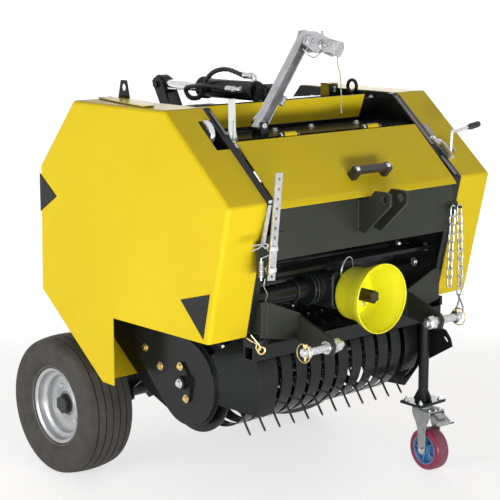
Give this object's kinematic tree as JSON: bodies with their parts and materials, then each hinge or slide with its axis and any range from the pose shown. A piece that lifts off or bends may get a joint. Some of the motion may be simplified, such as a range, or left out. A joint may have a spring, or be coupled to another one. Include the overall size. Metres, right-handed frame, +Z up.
{
  "type": "mounted mini round baler",
  "caption": "Compact mounted round hay baler with a yellow sheet covers, tined pickup, splined input, hitch pins, hydraulic tailgate, transport wheels and a parking castor.",
  "frame": {"origin": "centre of the machine's footprint box on the ground plane", "axes": "+X across the machine, -Y towards the tractor, +Z up"},
  "size_m": [1.015, 1.086, 1.2858],
  "materials": {
    "black_plastic": "matte",
    "cast_grey": "rough",
    "castor_tread": "satin",
    "cover_paint": "gloss",
    "frame_paint": "gloss",
    "guard_plastic": "matte",
    "hose_rubber": "matte",
    "indicator_white": "gloss",
    "panel_paint": "gloss",
    "plated_steel": "satin",
    "rim_paint": "satin",
    "rod_chrome": "polished",
    "roller_steel": "satin",
    "twine_fibre": "fibrous",
    "tyre": "matte"
  },
  "bodies": {
    "frame": {"side_plates": "frame_paint", "side_covers": "cover_paint", "cross_tubes": "frame_paint", "front_beam": "frame_paint", "toplink_clevis": "frame_paint", "hitch_arms": "frame_paint", "hitch_pins": "plated_steel", "gearbox": "cast_grey", "cross_shaft_tube": "frame_paint", "pto_guard": "guard_plastic", "hood_rail": "frame_paint", "twine_panel": "panel_paint", "twine_tray": "frame_paint", "frame_rollers": "roller_steel", "pickup_bands": "frame_paint", "pickup_guard_left": "frame_paint", "pickup_filler_right": "frame_paint", "nose_plate": "frame_paint", "chain_case": "frame_paint", "axle": "frame_paint", "jack_sleeve": "frame_paint", "twine_post": "frame_paint", "hole_bar": "plated_steel", "lifting_eyes": "frame_paint", "crank_lever": "frame_paint", "feed_disc": "plated_steel", "level_indicator": "indicator_white", "safety_chain": "plated_steel"},
    "gate": {"gate_sides": "frame_paint", "gate_rollers": "roller_steel", "gate_frame": "frame_paint"},
    "ram_barrel": {"cylinder_barrel": "frame_paint", "hydraulic_hose": "hose_rubber"},
    "ram_rod": {"cylinder_rod": "rod_chrome"},
    "hood_lid": {"hood": "panel_paint", "hood_handle": "black_plastic"},
    "pto": {"pto_shaft": "plated_steel"},
    "reel": {"tine_reel": "frame_paint"},
    "wheel_left": {"rim_left": "rim_paint", "tyre_left": "tyre"},
    "wheel_right": {"rim_right": "rim_paint", "tyre_right": "tyre"},
    "jack": {"jack_leg": "frame_paint"},
    "castor": {"castor_fork": "plated_steel"},
    "castor_roll": {"castor_wheel": "castor_tread"},
    "arm": {"twine_arm": "plated_steel", "twine_guide": "plated_steel", "twine": "twine_fibre"}
  },
  "joints": [
    {"name": "wheel_left_spin", "type": "hinge", "parent": "frame", "child": "wheel_left", "pos_m": [-0.425, 0.34, 0.203], "axis": [1, 0, 0], "continuous": true},
    {"name": "wheel_right_spin", "type": "hinge", "parent": "frame", "child": "wheel_right", "pos_m": [0.425, 0.34, 0.203], "axis": [1, 0, 0], "continuous": true},
    {"name": "jack_slide", "type": "slide", "parent": "frame", "child": "jack", "axis": [0, 0, 1], "range_m": [0, 0.06]},
    {"name": "castor_swivel", "type": "hinge", "parent": "jack", "child": "castor", "pos_m": [0.36, -0.324, 0.18], "axis": [0, 0, 1], "continuous": true},
    {"name": "castor_spin", "type": "hinge", "parent": "castor", "child": "castor_roll", "pos_m": [0.35665, -0.35583, 0.0625], "axis": [0.9945, -0.1045, 0], "continuous": true},
    {"name": "gate_hinge", "type": "hinge", "parent": "frame", "child": "gate", "pos_m": [0, 0.1, 1.01], "axis": [1, 0, 0], "range_deg": [0, 55]},
    {"name": "ram_pivot", "type": "hinge", "parent": "frame", "child": "ram_barrel", "pos_m": [-0.085, -0.129, 1.117], "axis": [1, 0, 0], "range_deg": [0, 30]},
    {"name": "ram_stroke", "type": "slide", "parent": "ram_barrel", "child": "ram_rod", "axis": [0, 1, -0.0065], "range_m": [-0.15, 0]},
    {"name": "hood_hinge", "type": "hinge", "parent": "frame", "child": "hood_lid", "pos_m": [0, -0.276, 1.017], "axis": [1, 0, 0], "range_deg": [-100, 0]},
    {"name": "pto_spin", "type": "hinge", "parent": "frame", "child": "pto", "pos_m": [0, -0.4, 0.59], "axis": [0, 1, 0], "continuous": true},
    {"name": "reel_spin", "type": "hinge", "parent": "frame", "child": "reel", "pos_m": [0, -0.154, 0.366], "axis": [1, 0, 0], "continuous": true},
    {"name": "arm_swing", "type": "hinge", "parent": "frame", "child": "arm", "pos_m": [-0.203, -0.232, 1.043], "axis": [0, 1, 0], "range_deg": [-30, 5]}
  ],
  "couplings": [
    {"joint": "ram_pivot", "follows": "gate_hinge", "ratio": 0.5},
    {"joint": "ram_stroke", "follows": "gate_hinge", "m_per_rad": -0.1475},
    {"joint": "pto_spin", "follows": "reel_spin", "ratio": 4}
  ]
}
